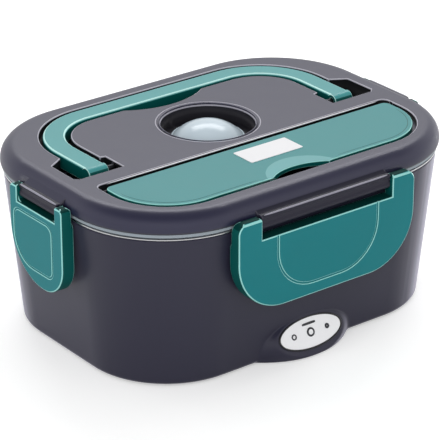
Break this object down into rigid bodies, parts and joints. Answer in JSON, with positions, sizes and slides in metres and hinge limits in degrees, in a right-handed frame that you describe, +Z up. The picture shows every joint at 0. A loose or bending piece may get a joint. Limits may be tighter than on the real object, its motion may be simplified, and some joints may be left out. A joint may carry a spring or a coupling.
{
  "type": "electric lunch box",
  "caption": "Heated lunch box with a drafted base, steel food container, lift-off lid with snap latches, folding handle, steam plug and hinged cutlery cover.",
  "frame": {"origin": "middle of the footprint, on the table under the feet", "axes": "+X along the long side, -Y towards the indicator panel, +Z up"},
  "size_m": [0.2488, 0.1858, 0.1049],
  "materials": {
    "grey": "satin",
    "dark_grey": "matte",
    "teal": "satin",
    "pale_teal": "satin",
    "steel": "brushed",
    "tray_metal": "satin",
    "rubber": "matte",
    "ceramic": "matte",
    "wire": "satin",
    "white": "gloss",
    "black": "satin",
    "lens": "gloss",
    "board": "satin",
    "led": "gloss",
    "silicone": "matte",
    "plug": "satin"
  },
  "bodies": {
    "base": {"outer_shell": "grey", "base_cover": "dark_grey", "base_screws": "steel", "feet": "rubber", "inner_well": "tray_metal", "heating_plate": "tray_metal", "ptc_heaters": "ceramic", "heater_clamp": "tray_metal", "clamp_screws": "steel", "thermostat": "steel", "thermal_fuse": "ceramic", "lead_wires": "wire", "indicator_panel": "white", "panel_bezel": "black", "lamp_lens": "lens", "indicator_board": "board", "indicator_led": "led", "ac_inlet": "black", "ac_pins": "steel", "dc_inlet": "black", "dc_pin": "steel"},
    "container": {"food_container": "steel"},
    "lid": {"lid_shell": "grey", "lid_liner": "dark_grey", "lid_seal": "silicone", "latch_pins": "steel", "handle_pins": "steel", "cover_pins": "steel"},
    "handle": {"handle": "pale_teal"},
    "plug": {"steam_plug": "plug"},
    "cover": {"cutlery_cover": "pale_teal", "blank_label": "white"},
    "front_latch": {"latch_front": "teal"},
    "back_latch": {"latch_back": "teal"},
    "left_latch": {"latch_left": "teal"},
    "right_latch": {"latch_right": "teal"}
  },
  "joints": [
    {"name": "lid_lift", "type": "slide", "parent": "base", "child": "lid", "axis": [0, 0, 1], "range_m": [0, 0.17]},
    {"name": "container_lift", "type": "slide", "parent": "base", "child": "container", "axis": [0, 0, 1], "range_m": [0, 0.085]},
    {"name": "plug_lift", "type": "slide", "parent": "lid", "child": "plug", "axis": [0, 0, 1], "range_m": [0, 0.004]},
    {"name": "handle_fold", "type": "hinge", "parent": "lid", "child": "handle", "pos_m": [0, 0, 0.1009], "axis": [1, 0, 0], "range_deg": [0, 90]},
    {"name": "cover_open", "type": "hinge", "parent": "lid", "child": "cover", "pos_m": [0, -0.0273, 0.1027], "axis": [-1, 0, 0], "range_deg": [0, 100]},
    {"name": "front_latch_open", "type": "hinge", "parent": "lid", "child": "front_latch", "pos_m": [0, -0.089, 0.0938], "axis": [-1, 0, 0], "range_deg": [0, 105]},
    {"name": "back_latch_open", "type": "hinge", "parent": "lid", "child": "back_latch", "pos_m": [0, 0.089, 0.0938], "axis": [1, 0, 0], "range_deg": [0, 105]},
    {"name": "left_latch_open", "type": "hinge", "parent": "lid", "child": "left_latch", "pos_m": [-0.1205, 0, 0.0963], "axis": [0, 1, 0], "range_deg": [0, 105]},
    {"name": "right_latch_open", "type": "hinge", "parent": "lid", "child": "right_latch", "pos_m": [0.1205, 0, 0.0963], "axis": [0, -1, 0], "range_deg": [0, 105]}
  ],
  "couplings": [
    {"joint": "container_lift", "follows": "lid_lift", "ratio": 0.5}
  ]
}
